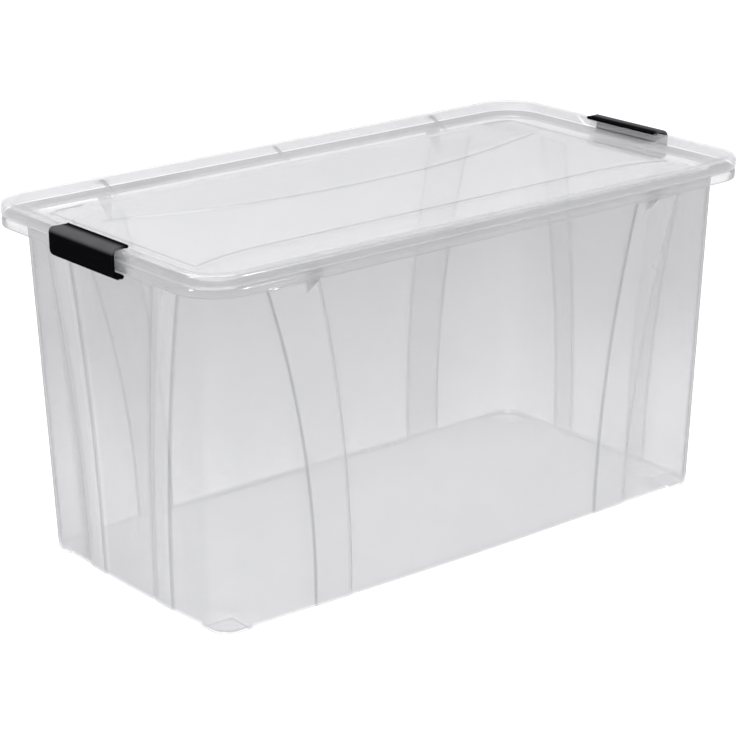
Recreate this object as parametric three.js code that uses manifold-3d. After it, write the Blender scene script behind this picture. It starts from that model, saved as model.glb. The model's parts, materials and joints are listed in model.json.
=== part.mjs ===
// A large clear storage box: a tapered open tub with a rolled rim, a tray-shaped lid whose skirt
// meets that rim, and one black clip handle at each end that swings on a bead under the tub rim.
// Millimetres, +Z up, +X along the box, origin on the ground under the middle of the box.

import * as THREE from "three";
import { mergeVertices } from "three/addons/utils/BufferGeometryUtils.js";
import Module from "manifold-3d";

const wasm = await Module();
wasm.setup();

// ---- Overall sizes ----
const LENGTH = 740; // over the lid rim
const WIDTH = 396; // over the lid rim
const HEIGHT = 386; // ground to the top of the lid rim
const RIM_RADIUS = 50; // corner radius of both rims, seen from above
const FIT = 0.4; // gap left between pieces that touch
const REACH = 30; // how far a cutting solid runs past what it cuts
const CURVE_STEPS = 8; // straight pieces in a quarter turn or a curved edge
const ROD_SIDES = 20;
const WELD = 1e-4; // corners closer than this are one corner

// ---- Tub ----
const WALL = 2.2; // tub wall and floor
const RIM_OVERHANG = 26; // from the tub wall to the outside of the rim
const TUB_RADIUS = 24; // corner radius of the walls
const DRAFT_X = 11; // how far each end wall leans in on its way down
const DRAFT_Y = 13; // how far each long wall leans in on its way down
const FOOT_HEIGHT = 1.5;
const FOOT_LENGTH = 38; // along both walls from the corner
const TUB_TOP = 373.6; // top face of the tub rim
const TUB_RIM_BOTTOM = 363; // lower edge of the down-turned rim

// ---- Curved bands pressed outward in the walls: distance from the middle of the wall ----
const BAND_RAISE = 2; // how far a band stands out of its wall
const BAND_TOP = 357;
const LONG_WALL_BAND = { inner: 172, innerSpread: 45, outer: 217, outerSpread: 62 };
const END_WALL_BAND = { inner: 47, innerSpread: 30, outer: 75, outerSpread: 42 };
const GUSSET_PLACE = 230; // from the middle of a long wall to the web under its rim
const GUSSET_THICKNESS = 3;
const GUSSET_DEPTH = 22;

// ---- Lid ----
const LID_SHEET = 2;
const SKIRT_BOTTOM = TUB_TOP + FIT;
const RIM_WIDTH = 9; // flat-topped roll around the lid
const TRAY_DEPTH = 15; // from the top of the roll to the tray floor
const TRAY_SLOPE = 31; // how far the tray wall runs inward on its way down
const PANEL_RAISE = 2; // the panel stands this much above the tray floor
const PANEL_FRONT = 95; // from the long centre line to the straight front edge of the panel
const PANEL_FLARE = 18; // the front edge curves forward by this much at both ends
const PANEL_FLARE_LENGTH = 90;
const PANEL_END = 320; // from the middle to each end edge of the panel
const PANEL_BACK = 150;
const SWOOSH_RAISE = 1.5; // the back of the panel stands this much above the rest
const SWOOSH_END = 78; // distance of the curved step behind the centre line at the ends
const SWOOSH_DIP = 22; // the curve is drawn toward a point this far in front of the centre line
const SWOOSH_SHIFT = 35; // and this far right of the middle
const RIB_SPACING = 230; // between the short ribs across the tray wall
const RIB_WIDTH = 3.5;
const RIB_HEIGHT = 5; // how far a rib stands inward of the middle of the sheet
const RIM_CHAMFER = 2.5; // on the outer top edge of the roll
const SEAT_LENGTH = 124; // where the roll is cut down for a clip's lip, along Y
const SEAT_DEPTH = 1.5;
const POCKET_FLOOR = SKIRT_BOTTOM + LID_SHEET; // the tray wall is upright beside a seat

// ---- Clip handles, measured from the centre of the bead that each one swings on ----
const PIVOT_X = 363;
const PIVOT_Z = 356.5;
const BEAD_RADIUS = 2.6;
const BEAD_LENGTH = 100;
const PLATE_LENGTH = 114;
const PLATE_CORNER = 6;
const PLATE_OUTER = 15;
const PLATE_THICKNESS = 3.2;
const PLATE_BOTTOM = 4.5;
const LIP_LENGTH = 106;
const LIP_UNDERSIDE = 28.8;
const LIP_TOP = 31.5;
const TIP_X = -5.2; // centre of the rounded tip, inward of the bead
const TIP_Z = 30.5;
const TIP_RADIUS = 2;
const RAIL_INNER = 3.6; // from the bead's centre to the rail on the tub that keeps it in
const RAIL_BOTTOM = 357.5;

// ---- Solids from three.js geometry ----

function toSolid(geometry) {
  const bare = geometry.clone();
  bare.deleteAttribute("normal");
  bare.deleteAttribute("uv");
  const merged = mergeVertices(bare, WELD);
  const mesh = new wasm.Mesh({
    numProp: 3,
    vertProperties: Float32Array.from(merged.attributes.position.array),
    triVerts: Uint32Array.from(merged.index.array),
  });
  return new wasm.Manifold(mesh);
}

function toMesh(name, solid, material) {
  const { vertProperties, triVerts, numProp } = solid.getMesh();
  const geometry = new THREE.BufferGeometry();
  const positions = new Float32Array((vertProperties.length / numProp) * 3);
  for (let i = 0; i < positions.length / 3; i += 1) {
    for (let axis = 0; axis < 3; axis += 1) {
      positions[3 * i + axis] = vertProperties[numProp * i + axis];
    }
  }
  geometry.setAttribute("position", new THREE.BufferAttribute(positions, 3));
  geometry.setIndex(new THREE.BufferAttribute(Uint32Array.from(triVerts), 1));
  geometry.computeVertexNormals();
  const mesh = new THREE.Mesh(geometry, material);
  mesh.name = name;
  return mesh;
}

function box(x0, x1, y0, y1, z0, z1) {
  const geometry = new THREE.BoxGeometry(x1 - x0, y1 - y0, z1 - z0);
  geometry.translate((x0 + x1) / 2, (y0 + y1) / 2, (z0 + z1) / 2);
  return toSolid(geometry);
}

function roundedRectangle(halfX, halfY, radius) {
  const quarter = Math.PI / 2;
  const shape = new THREE.Shape();
  shape.absarc(halfX - radius, halfY - radius, radius, 0, quarter);
  shape.absarc(radius - halfX, halfY - radius, radius, quarter, 2 * quarter);
  shape.absarc(radius - halfX, radius - halfY, radius, 2 * quarter, 3 * quarter);
  shape.absarc(halfX - radius, radius - halfY, radius, 3 * quarter, 4 * quarter);
  return shape;
}

function prism(shape, z0, z1) {
  const geometry = new THREE.ExtrudeGeometry(shape, {
    depth: z1 - z0,
    bevelEnabled: false,
    curveSegments: CURVE_STEPS,
  });
  geometry.translate(0, 0, z0);
  return geometry;
}

// A rounded block whose sides move in by leanX and leanY from its top to its bottom.
function taperedBlock(halfX, halfY, radius, z0, z1, leanX, leanY) {
  const geometry = prism(roundedRectangle(halfX, halfY, radius), z0, z1);
  const position = geometry.attributes.position;
  for (let i = 0; i < position.count; i += 1) {
    const below = (z1 - position.getZ(i)) / (z1 - z0);
    position.setX(i, position.getX(i) - Math.sign(position.getX(i)) * leanX * below);
    position.setY(i, position.getY(i) - Math.sign(position.getY(i)) * leanY * below);
  }
  return toSolid(geometry);
}

function roundedBlock(halfX, halfY, radius, z0, z1) {
  return toSolid(prism(roundedRectangle(halfX, halfY, radius), z0, z1));
}

// A rod along Y.
function rod(x, z, radius, length) {
  const geometry = new THREE.CylinderGeometry(radius, radius, length, ROD_SIDES);
  geometry.translate(x, 0, z);
  return toSolid(geometry);
}

// ---- Tub ----

const tubHalfX = LENGTH / 2 - RIM_OVERHANG;
const tubHalfY = WIDTH / 2 - RIM_OVERHANG;

// The tub's outside, grown or shrunk sideways by offset; the lean is the same all the way up.
function wallBlock(offset, bottom, top) {
  const leanX = (DRAFT_X * (top - bottom)) / TUB_TOP;
  const leanY = (DRAFT_Y * (top - bottom)) / TUB_TOP;
  const topX = tubHalfX + offset - (DRAFT_X * (TUB_TOP - top)) / TUB_TOP;
  const topY = tubHalfY + offset - (DRAFT_Y * (TUB_TOP - top)) / TUB_TOP;
  return taperedBlock(topX, topY, TUB_RADIUS + offset, bottom, top, leanX, leanY);
}

// One curved band as a prism through the whole box: both edges are parabolas that start upright
// at the ground and lean toward the corner of the wall as they rise.
function bandPrism({ inner, innerSpread, outer, outerSpread }, trim, side) {
  const innerFoot = side * (inner + trim);
  const outerFoot = side * (outer - trim);
  const shape = new THREE.Shape();
  shape.moveTo(innerFoot, 0);
  shape.lineTo(outerFoot, 0);
  shape.quadraticCurveTo(outerFoot, BAND_TOP / 2, outerFoot + side * outerSpread, BAND_TOP);
  shape.lineTo(innerFoot + side * innerSpread, BAND_TOP);
  shape.quadraticCurveTo(innerFoot, BAND_TOP / 2, innerFoot, 0);
  const reach = LENGTH;
  const geometry = new THREE.ExtrudeGeometry(shape, {
    depth: reach,
    bevelEnabled: false,
    curveSegments: CURVE_STEPS,
  });
  geometry.translate(0, 0, -reach / 2);
  geometry.rotateX(Math.PI / 2);
  return geometry;
}

// Every band of the tub: two on each long wall and two on each end wall.
function allBands(trim) {
  const prisms = [];
  for (const side of [-1, 1]) {
    prisms.push(toSolid(bandPrism(LONG_WALL_BAND, trim, side)));
    const across = bandPrism(END_WALL_BAND, trim, side);
    across.rotateZ(Math.PI / 2);
    prisms.push(toSolid(across));
  }
  return wasm.Manifold.union(prisms);
}

function makeTub() {
  const floorTop = FOOT_HEIGHT + WALL;
  const outside = wallBlock(0, FOOT_HEIGHT, TUB_TOP);
  const raised = wallBlock(BAND_RAISE, FOOT_HEIGHT, BAND_TOP).intersect(allBands(0));
  const inside = wallBlock(-WALL, floorTop, TUB_TOP + REACH);
  const pressed = wallBlock(BAND_RAISE - WALL, floorTop, BAND_TOP - WALL);
  const hollow = inside.add(pressed.intersect(allBands(WALL)));

  const rimX = LENGTH / 2 - FIT;
  const rimY = WIDTH / 2 - FIT;
  const rim = roundedBlock(rimX, rimY, RIM_RADIUS, TUB_RIM_BOTTOM, TUB_TOP);
  const under = TUB_TOP - WALL;
  const channel = roundedBlock(rimX - WALL, rimY - WALL, RIM_RADIUS - WALL, 0, under);
  const behind = channel.subtract(wallBlock(-WALL / 2, 0, TUB_TOP));

  let tub = outside.add(raised).add(rim.subtract(behind));
  for (const side of [-1, 1]) {
    tub = tub.add(bearingRail(side));
    for (const wall of [-1, 1]) {
      tub = tub.add(gusset(side * GUSSET_PLACE, wall));
      tub = tub.add(foot(side, wall));
    }
  }
  return tub.subtract(hollow);
}

// A short wall inside the down-turned rim: the clip's bead sits between the two.
function bearingRail(side) {
  const outerFace = PIVOT_X - RAIL_INNER;
  const near = side * (outerFace - WALL);
  const far = side * outerFace;
  const half = BEAD_LENGTH / 2;
  return box(Math.min(near, far), Math.max(near, far), -half, half, RAIL_BOTTOM, TUB_TOP - WALL / 2);
}

// A triangular web between a long wall and the underside of the rim.
function gusset(x, wall) {
  const root = tubHalfY - WALL / 2;
  const tip = WIDTH / 2 - WALL - FIT;
  const shape = new THREE.Shape();
  shape.moveTo(root, TUB_TOP - WALL / 2);
  shape.lineTo(root, TUB_RIM_BOTTOM - GUSSET_DEPTH);
  shape.lineTo(tip, TUB_RIM_BOTTOM + WALL);
  shape.lineTo(tip, TUB_TOP - WALL / 2);
  const geometry = new THREE.ExtrudeGeometry(shape, { depth: GUSSET_THICKNESS, bevelEnabled: false });
  geometry.translate(0, 0, -GUSSET_THICKNESS / 2);
  geometry.rotateX(Math.PI / 2);
  geometry.rotateZ(wall * Math.PI / 2);
  geometry.translate(x, 0, 0);
  return toSolid(geometry);
}

// The corner of the tub carried down to the ground.
function foot(sideX, sideY) {
  const block = wallBlock(0, 0, FOOT_HEIGHT + WALL / 2);
  const x = sideX * (tubHalfX - DRAFT_X);
  const y = sideY * (tubHalfY - DRAFT_Y);
  const innerX = x - sideX * FOOT_LENGTH;
  const innerY = y - sideY * FOOT_LENGTH;
  const corner = box(
    Math.min(innerX, x + sideX * REACH), Math.max(innerX, x + sideX * REACH),
    Math.min(innerY, y + sideY * REACH), Math.max(innerY, y + sideY * REACH),
    0, FOOT_HEIGHT + WALL,
  );
  return block.intersect(corner);
}

// ---- Lid ----

const floorZ = HEIGHT - TRAY_DEPTH;

// The raised panel: straight front and end edges, and a second step with a curved front edge.
// Set back by inset on every side and lowered by as much, it shapes the underside of the sheet.
function panelBlock(inset) {
  const end = PANEL_END - inset;
  const back = PANEL_BACK - inset;
  const outline = new THREE.Shape();
  const front = inset - PANEL_FRONT;
  const flareStart = end - PANEL_FLARE_LENGTH;
  const flareMiddle = end - PANEL_FLARE_LENGTH / 2;
  outline.moveTo(-end, front - PANEL_FLARE);
  outline.quadraticCurveTo(-flareMiddle, front, -flareStart, front);
  outline.lineTo(flareStart, front);
  outline.quadraticCurveTo(flareMiddle, front, end, front - PANEL_FLARE);
  outline.lineTo(end, back);
  outline.lineTo(-end, back);
  const swoosh = new THREE.Shape();
  swoosh.moveTo(-end, SWOOSH_END + inset);
  swoosh.quadraticCurveTo(SWOOSH_SHIFT, inset - SWOOSH_DIP, end, SWOOSH_END + inset);
  swoosh.lineTo(end, back);
  swoosh.lineTo(-end, back);
  const bottom = floorZ - REACH;
  const top = floorZ + PANEL_RAISE - inset;
  return toSolid(prism(outline, bottom, top)).add(toSolid(prism(swoosh, bottom, top + SWOOSH_RAISE)));
}

// The space above the tray floor, with the tray's sloping wall and the seats and pockets for the
// clips; grown by one sheet thickness it gives the underside of the same sheet.
function traySpace(grow) {
  const halfX = LENGTH / 2 - RIM_WIDTH + grow;
  const halfY = WIDTH / 2 - RIM_WIDTH + grow;
  const radius = RIM_RADIUS - RIM_WIDTH + grow;
  const slope = taperedBlock(halfX, halfY, radius, floorZ - grow, HEIGHT, TRAY_SLOPE, TRAY_SLOPE);
  const open = roundedBlock(halfX, halfY, radius, HEIGHT, HEIGHT + REACH);
  const halfSeat = SEAT_LENGTH / 2 + grow;
  const pockets = box(-halfX, halfX, -halfSeat, halfSeat, POCKET_FLOOR - grow, HEIGHT);
  const seatEnd = LENGTH / 2 + REACH;
  const seatFloor = HEIGHT - SEAT_DEPTH - grow;
  const seats = box(-seatEnd, seatEnd, -halfSeat, halfSeat, seatFloor, HEIGHT + REACH);
  return wasm.Manifold.union([slope, open, pockets, seats]).subtract(panelBlock(grow));
}

// The lid's outside: a rounded block with its top edge bevelled.
function lidBlock() {
  const halfX = LENGTH / 2;
  const halfY = WIDTH / 2;
  const upright = roundedBlock(halfX, halfY, RIM_RADIUS, floorZ - LID_SHEET, HEIGHT);
  const cut = RIM_CHAMFER;
  const fall = HEIGHT - (floorZ - LID_SHEET);
  const bevelled = taperedBlock(
    halfX - cut, halfY - cut, RIM_RADIUS - cut, floorZ - LID_SHEET, HEIGHT, -fall, -fall,
  );
  return upright.intersect(bevelled);
}

function makeLid() {
  const insideX = LENGTH / 2 - LID_SHEET;
  const insideY = WIDTH / 2 - LID_SHEET;
  const ceiling = HEIGHT - LID_SHEET;
  const below = roundedBlock(insideX, insideY, RIM_RADIUS - LID_SHEET, 0, ceiling);
  const edge = roundedBlock(LENGTH, WIDTH, RIM_RADIUS, 0, SKIRT_BOTTOM);
  const skirtTrim = edge.subtract(roundedBlock(insideX, insideY, RIM_RADIUS, 0, SKIRT_BOTTOM));
  const sheet = lidBlock().subtract(traySpace(0)).subtract(below.subtract(traySpace(LID_SHEET)));
  let lid = sheet.subtract(skirtTrim);
  for (const place of [-1, 0, 1]) {
    for (const wall of [-1, 1]) {
      lid = lid.add(lidRib(place * RIB_SPACING, wall));
    }
  }
  return lid;
}

// A short upright rib in the angle between the tray wall and the tray floor.
function lidRib(x, wall) {
  const top = WIDTH / 2 - RIM_WIDTH + LID_SHEET / 2;
  const foot = top - TRAY_SLOPE;
  const sunk = LID_SHEET / 2;
  const shape = new THREE.Shape();
  shape.moveTo(top, HEIGHT - sunk);
  shape.lineTo(foot, floorZ - sunk);
  shape.lineTo(foot - RIB_HEIGHT, floorZ - sunk);
  shape.lineTo(top - RIB_HEIGHT, HEIGHT - sunk);
  const geometry = new THREE.ExtrudeGeometry(shape, { depth: RIB_WIDTH, bevelEnabled: false });
  geometry.translate(0, 0, -RIB_WIDTH / 2);
  geometry.rotateX(Math.PI / 2);
  geometry.rotateZ(wall * Math.PI / 2);
  geometry.translate(x, 0, 0);
  return toSolid(geometry);
}

// ---- Clip handle ----

// The upright plate with the foot that curves in to the bead, as a section in X and Z.
function plateSection() {
  const inner = PLATE_OUTER - PLATE_THICKNESS;
  const shape = new THREE.Shape();
  shape.moveTo(0, -BEAD_RADIUS);
  shape.quadraticCurveTo(PLATE_OUTER, 0, PLATE_OUTER, PLATE_BOTTOM + PLATE_THICKNESS);
  shape.lineTo(PLATE_OUTER, LIP_TOP);
  shape.lineTo(inner, LIP_TOP);
  shape.lineTo(inner, PLATE_BOTTOM + PLATE_THICKNESS);
  shape.quadraticCurveTo(inner - FIT, BEAD_RADIUS, 0, BEAD_RADIUS / 2);
  return shape;
}

// Built at the right-hand end with the bead on the Y axis.
function makeClip() {
  const section = new THREE.ExtrudeGeometry(plateSection(), {
    depth: PLATE_LENGTH,
    bevelEnabled: false,
    curveSegments: CURVE_STEPS,
  });
  section.translate(0, 0, -PLATE_LENGTH / 2);
  section.rotateX(Math.PI / 2);
  const outline = roundedRectangle(PLATE_LENGTH / 2, (LIP_TOP + BEAD_RADIUS) / 2, PLATE_CORNER);
  const outlineGeometry = prism(outline, -REACH, REACH);
  outlineGeometry.rotateZ(Math.PI / 2);
  outlineGeometry.rotateY(Math.PI / 2);
  outlineGeometry.translate(0, 0, (LIP_TOP - BEAD_RADIUS) / 2);
  const plate = toSolid(section).intersect(toSolid(outlineGeometry));
  const bead = rod(0, 0, BEAD_RADIUS, BEAD_LENGTH);
  const half = LIP_LENGTH / 2;
  const lip = box(TIP_X, PLATE_OUTER - FIT, -half, half, LIP_UNDERSIDE, LIP_TOP - FIT / 2);
  const tip = rod(TIP_X, TIP_Z, TIP_RADIUS, LIP_LENGTH);
  return wasm.Manifold.union([plate, bead, lip, tip]);
}

// ---- Assembly ----

const clear = new THREE.MeshStandardMaterial({
  color: 0xdfe1e6,
  roughness: 0.28,
  metalness: 0,
  transparent: true,
  opacity: 0.45,
});
const black = new THREE.MeshStandardMaterial({ color: 0x17181a, roughness: 0.42, metalness: 0 });

const group = new THREE.Group();
group.add(toMesh("tub", makeTub(), clear));
group.add(toMesh("lid", makeLid(), clear));

for (const [name, turn] of [["clip_right", 0], ["clip_left", Math.PI]]) {
  const end = new THREE.Group();
  const clip = toMesh(name, makeClip(), black);
  clip.position.set(PIVOT_X, 0, PIVOT_Z);
  end.rotation.z = turn;
  end.add(clip);
  group.add(end);
}

export default group;
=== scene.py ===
"""A large clear storage box: a tapered tub, a tray-topped lid and a black clip handle at each end.

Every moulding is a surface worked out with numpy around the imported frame. Metres, +Z up, +X along
the box, origin on the ground under its middle.
"""

import json
import math

import bmesh
import bpy
import numpy as np
from bpy.props import FloatProperty, FloatVectorProperty, PointerProperty
from mathutils import Matrix, Vector


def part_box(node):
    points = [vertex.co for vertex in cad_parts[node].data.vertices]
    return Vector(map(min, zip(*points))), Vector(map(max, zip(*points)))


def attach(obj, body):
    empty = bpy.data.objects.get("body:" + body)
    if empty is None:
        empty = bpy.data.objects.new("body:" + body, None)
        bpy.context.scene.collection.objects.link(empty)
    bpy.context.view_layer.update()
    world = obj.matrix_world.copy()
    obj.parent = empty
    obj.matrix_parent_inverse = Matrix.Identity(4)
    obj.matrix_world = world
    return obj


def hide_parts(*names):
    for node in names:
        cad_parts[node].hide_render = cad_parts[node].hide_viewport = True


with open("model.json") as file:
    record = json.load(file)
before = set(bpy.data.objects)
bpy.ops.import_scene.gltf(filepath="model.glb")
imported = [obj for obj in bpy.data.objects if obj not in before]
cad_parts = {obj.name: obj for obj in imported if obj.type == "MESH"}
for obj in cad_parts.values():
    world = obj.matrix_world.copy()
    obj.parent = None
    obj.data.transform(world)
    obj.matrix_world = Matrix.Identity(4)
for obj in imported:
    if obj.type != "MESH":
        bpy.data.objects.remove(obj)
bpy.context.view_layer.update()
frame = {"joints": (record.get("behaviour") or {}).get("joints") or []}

MM = 0.001
PIVOTS = {j["child"]: Vector(j["pos_m"]) for j in frame["joints"] if j["type"] == "hinge"}

bl_info = {
    "name": "Clear storage box",
    "version": (1, 0, 0),
    "blender": (4, 5, 0),
    "location": "View3D > Sidebar > Storage box",
    "description": "Builds a clear storage box with a tray lid and two clip handles",
    "category": "Object",
}


# ---- Sizes and colours that a user would change ----


def size(name, default, description):
    """A length given in millimetres and kept in metres."""
    return FloatProperty(name=name, description=description, default=default * MM, min=0.0,
                         unit="LENGTH", precision=4)


def share(name, default, description):
    """A number from 0 to 1."""
    return FloatProperty(name=name, description=description, default=default, min=0.0, max=1.0,
                         subtype="FACTOR")


def colour(name, default, description):
    return FloatVectorProperty(name=name, description=description, default=default, min=0.0,
                               max=1.0, size=3, subtype="COLOR")


class TubSizes(bpy.types.PropertyGroup):
    wall: size("Wall", 2.2, "Thickness of the tub's walls and floor")
    overhang: size("Rim overhang", 25.6, "From the wall to the rim's outside")
    corner: size("Wall corner", 24, "Corner radius of the walls")
    rim_corner: size("Rim corner", 49.6, "Corner radius of the rim")
    draft_x: size("End draft", 11, "How far an end wall leans in at its foot")
    draft_y: size("Side draft", 13, "How far a long wall leans in at its foot")
    rim_drop: size("Rim drop", 10.6, "Height of the down-turned rim")
    roll: size("Rim roll", 3, "Inside radius of the rim's bend")
    floor_bend: size("Floor bend", 5, "Outside radius between a wall and the floor")
    foot_height: size("Foot height", 2.4, "How far the corners stand below the floor")
    foot_length: size("Foot length", 38, "Length of a foot along each wall")
    bow: size("Base bow", 3, "How far a long wall's foot bulges at its middle")
    end_bow: size("End base bow", 1.8, "How far an end wall's foot bulges at its middle")
    band_raise: size("Band raise", 2, "How far the curved bands stand out of the walls")
    band_top: size("Band top", 356, "Height where the bands end")
    band_edge: size("Band edge", 1.7, "Half the width of a band's soft edge")
    web_place: size("Web place", 230, "From a long wall's middle to the web under its rim")
    web_depth: size("Web depth", 22, "How far a web reaches below the rim")


class LidSizes(bpy.types.PropertyGroup):
    sheet: size("Sheet", 2, "Thickness of the lid")
    corner: size("Rim corner", 50, "Corner radius of the rim")
    rim_width: size("Rim width", 9, "Width of the roll around the lid")
    roll: size("Rim roll", 4.5, "Outside radius of the roll's outer bend")
    tray_depth: size("Tray depth", 15, "From the roll's top to the tray floor")
    tray_slope: size("Tray slope", 31, "How far in the tray wall's foot is")
    tray_corner: size("Tray corner", 34, "Corner radius of the tray floor")
    panel_raise: size("Panel raise", 2, "Height of the panel above the tray floor")
    panel_front: size("Panel front", 95, "From the middle to the panel's front edge")
    panel_flare: size("Panel flare", 18, "How far that edge curves forward at its ends")
    panel_end: size("Panel end", 320, "From the middle to the panel's end edges")
    panel_back: size("Panel back", 150, "From the middle to the panel's back edge")
    sweep_raise: size("Sweep raise", 1.5, "Height of the long curved step")
    seat: size("Seat", 62, "Half the length of the seat for a clip's lip")
    seat_depth: size("Seat depth", 1.5, "How far the roll is let down at a seat")
    rib_spacing: size("Rib spacing", 230, "Between the short ribs on the tray wall")
    rib_width: size("Rib width", 4, "Width of a short rib")


class ClipSizes(bpy.types.PropertyGroup):
    bead: size("Bead", 2.6, "Radius of the bead that the clip swings on")
    bead_length: size("Bead length", 100, "Length of that bead")
    plate_length: size("Plate length", 114, "Length of the plate")
    plate_corner: size("Plate corner", 6, "Radius of the plate's corners")
    plate_outer: size("Plate reach", 15, "From the bead's middle to the plate's outside")
    thickness: size("Thickness", 3.1, "Thickness of the plate")
    lip_length: size("Lip length", 106, "Length of the lip that snaps over the lid")
    lip_top: size("Lip top", 31.3, "From the bead's middle to the lip's top")
    bend: size("Bend", 6.5, "Outside radius between the plate and the lip")
    tip: size("Tip bead", 2, "Radius of the bead along the lip's edge")
    tip_reach: size("Tip reach", 5.2, "From the bead's middle inward to the tip bead")
    edge: size("Edge rounding", 0.8, "Rounding of the moulded edges")


class Finishes(bpy.types.PropertyGroup):
    # A tint is what one face of the plastic lets through.
    clear_tint: colour("Clear tint", (0.77, 0.77, 0.776), "Tint of the walls at their top")
    # Painted light: a lighter tint low on the tub's walls and along the top of its rim.
    foot_and_rim_painted_light_tint: colour("Foot tint", (0.86, 0.86, 0.865), "Tint of the walls at their foot")
    # Painted light: a lighter tint on the tub's floor.
    floor_painted_light_tint: colour("Floor tint", (0.885, 0.885, 0.889), "Tint of the tub's floor")
    lid_tint: colour("Lid tint", (0.918, 0.918, 0.922), "Tint of the lid's edge")
    # Painted light: a lighter tint on the lid's tray floor, and a painted highlight along the top
    # of its roll.
    tray_and_roll_painted_light_tint: colour("Panel tint", (0.995, 0.995, 0.996), "Tint of the lid's panel")
    milk: colour("Milk", (0.46, 0.46, 0.472), "Colour of the haze in the clear plastic")
    haze: share("Haze", 0.10, "How milky one face of the clear plastic is, met square on")
    band_milk: colour("Band milk", (0.46, 0.46, 0.472), "Colour of the frosting on the bands")
    band_haze: share("Band haze", 0.17, "How much more milky one face of a band is")
    black: colour("Black", (0.0025, 0.0025, 0.003), "Colour of the clips")
    # Grey of real wear on the clips' edges and scuffs, and of a painted sheen along their
    # shoulders.
    wear_and_sheen: colour("Rubbed", (0.072, 0.072, 0.074), "Colour of the clips where hands rub them")
    floor: colour("Floor", (0.93, 0.93, 0.93), "Colour of the floor")


# ---- Numpy helpers ----


def ease(t):
    """3t² - 2t³ between 0 and 1: a step with soft ends."""
    t = np.clip(t, 0.0, 1.0)
    return t * t * (3.0 - 2.0 * t)


def step(x, at, half):
    """0 before at - half, 1 after at + half, eased between."""
    return ease((x - at + half) / (2.0 * half))


def midway(x, at, half):
    """1 in the middle of a soft step and 0 on both sides of it: 4 × share × (1 - share)."""
    passed = step(x, at, half)
    return 4 * passed * (1 - passed)


def hump(x, reach):
    """1 at 0 and 0 from reach on: 1 - (x / reach)²."""
    return np.clip(1 - (x / reach) ** 2, 0, 1)


def stations(*spans):
    """Evenly spaced places between neighbouring marks: (mark, count), ..., last mark.

    A mark may hold one number for each row of the result."""
    marks = [np.atleast_1d(np.asarray(s[0] if isinstance(s, tuple) else s, float)) for s in spans]
    counts = [s[1] for s in spans[:-1]]
    rows = max(len(m) for m in marks)
    marks = [np.broadcast_to(m, rows) for m in marks]
    parts = [
        a[:, None] + (b - a)[:, None] * np.arange(n) / n
        for a, b, n in zip(marks, marks[1:], counts)
    ]
    return np.concatenate([*parts, marks[-1][:, None]], axis=1)


def both_sides(half):
    """Mirrors places from the middle outward, so that they run from one end to the other."""
    return np.concatenate([-half[:, :0:-1], half], axis=1)


def grid_faces(rows, columns, closed):
    """Quads between neighbouring rows and columns; closed joins the last column to the first."""
    row = np.arange(rows - 1)[:, None] * columns
    column = np.arange(columns if closed else columns - 1)
    after = (column + 1) % columns
    corners = (row + column, row + after, row + columns + after, row + columns + column)
    return np.stack(corners, axis=-1).reshape(-1, 4)


def ring(half_x, half_y, radius, front, right, back, left, angles):
    """Rounded rectangles, one a row: four sides, and four arcs of the given angles.

    front, right, back and left place the side's points as shares, -1 to 1, of its straight half
    length, half - radius. A corner's points are at its centre + radius × (cos, sin). Returns x, y
    and the outward direction."""
    column = [np.asarray(v, float).reshape(-1, 1) for v in (half_x, half_y, radius)]
    half_x, half_y, radius = np.broadcast_arrays(*column)
    cx, cy = half_x - radius, half_y - radius
    parts = []
    sides = ((front, 0, -1), (right, 1, 0), (back, 0, 1), (left, -1, 0))
    for turn, (places, nx, ny) in enumerate(sides):
        places = places if turn < 2 else places[:, ::-1]
        flat = np.ones_like(places)
        x = cx * places if ny else flat * half_x * nx
        y = cy * places if nx else flat * half_y * ny
        parts.append((x, y, flat * nx, flat * ny))
        swing = angles + (turn - 1) * math.pi / 2
        dx, dy = np.cos(swing) * np.ones_like(cx), np.sin(swing) * np.ones_like(cx)
        x = cx * (1 if turn in (0, 1) else -1) + radius * dx
        y = cy * (1 if turn in (1, 2) else -1) + radius * dy
        parts.append((x, y, dx, dy))
    return [np.concatenate(v, axis=1) for v in zip(*parts)]


def joined(*shells):
    """Several (points, faces) as one, the faces of each counted on from the last."""
    points, faces, count = [], [], 0
    for shell_points, shell_faces in shells:
        points.append(shell_points)
        faces += [f + count for f in shell_faces]
        count += len(shell_points)
    return np.concatenate(points), faces


def make_mesh(name, points, faces):
    """A mesh with coinciding corners merged and vanished faces dropped."""
    mesh = bpy.data.meshes.new(name)
    mesh.from_pydata(points.tolist(), [], [f for group in faces for f in group.tolist()])
    work = bmesh.new()
    work.from_mesh(mesh)
    bmesh.ops.remove_doubles(work, verts=work.verts, dist=2e-6)
    bmesh.ops.dissolve_degenerate(work, edges=work.edges, dist=1e-7)
    work.to_mesh(mesh)
    work.free()
    mesh.validate()
    return mesh


def read(items, field, width=1):
    """One field of all of a mesh's items: whole numbers, or rows of width numbers."""
    found = np.empty(len(items) * width, np.int32 if width == 1 else np.float32)
    items.foreach_get(field, found)
    return found if width == 1 else found.reshape(-1, width).astype(float)


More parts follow.
